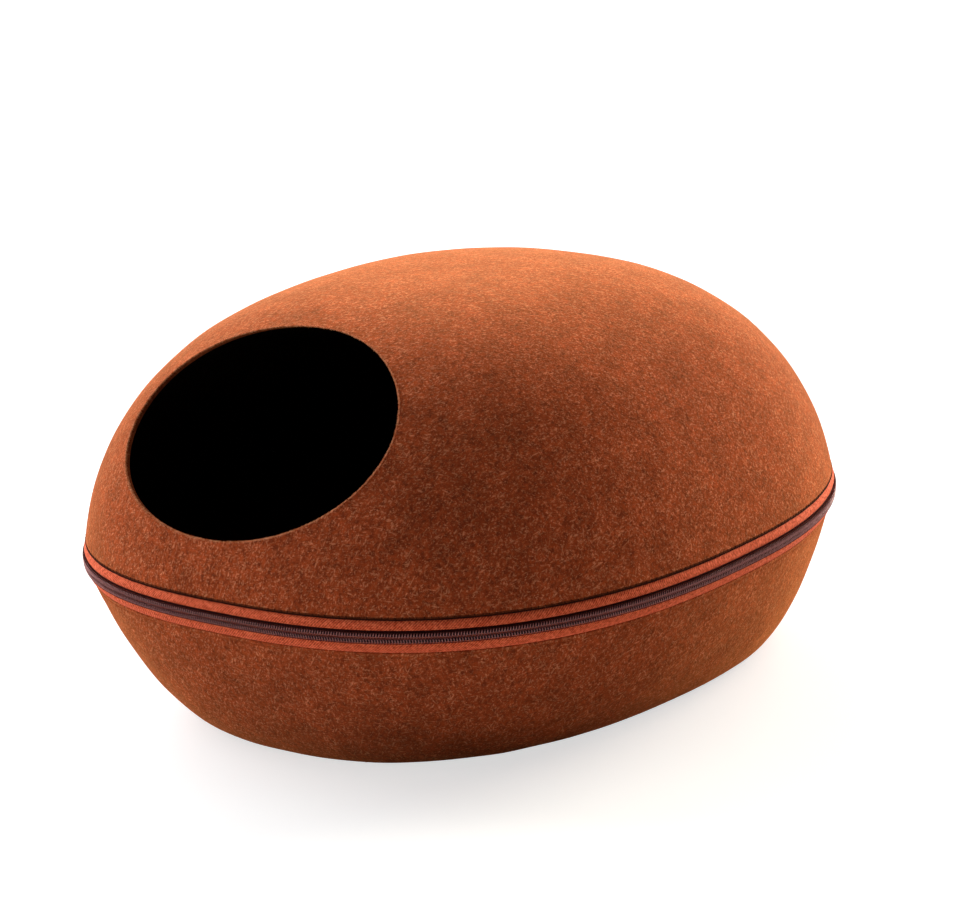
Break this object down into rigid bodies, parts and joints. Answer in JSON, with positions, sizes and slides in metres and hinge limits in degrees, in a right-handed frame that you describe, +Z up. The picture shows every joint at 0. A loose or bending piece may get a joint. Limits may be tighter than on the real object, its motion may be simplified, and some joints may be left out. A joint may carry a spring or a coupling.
{
  "type": "cat cave bed",
  "caption": "Egg-shaped felt cave bed for a cat: pressed felt tray and dome with a round side entrance, joined all round by a zip.",
  "frame": {"origin": "middle of the flat underside, on the surface that the bed rests on", "axes": "+Z up; +X towards the rear end, away from the entrance; +Y along the shorter plan direction"},
  "size_m": [0.4874, 0.4086, 0.246],
  "materials": {
    "felt": "matte needled felt, rust orange mixed with brown",
    "zip_tape": "matte woven twill, coral orange",
    "zip_coil": "satin nylon, dark aubergine brown",
    "slider_metal": "satin, dark bronze"
  },
  "bodies": {
    "root": {"dome_shell": "felt", "tray_shell": "felt", "zip_tape_upper": "zip_tape", "zip_tape_lower": "zip_tape", "zip_coil_upper": "zip_coil", "zip_coil_lower": "zip_coil", "zip_slider": "slider_metal", "zip_pull": "slider_metal"}
  },
  "joints": []
}
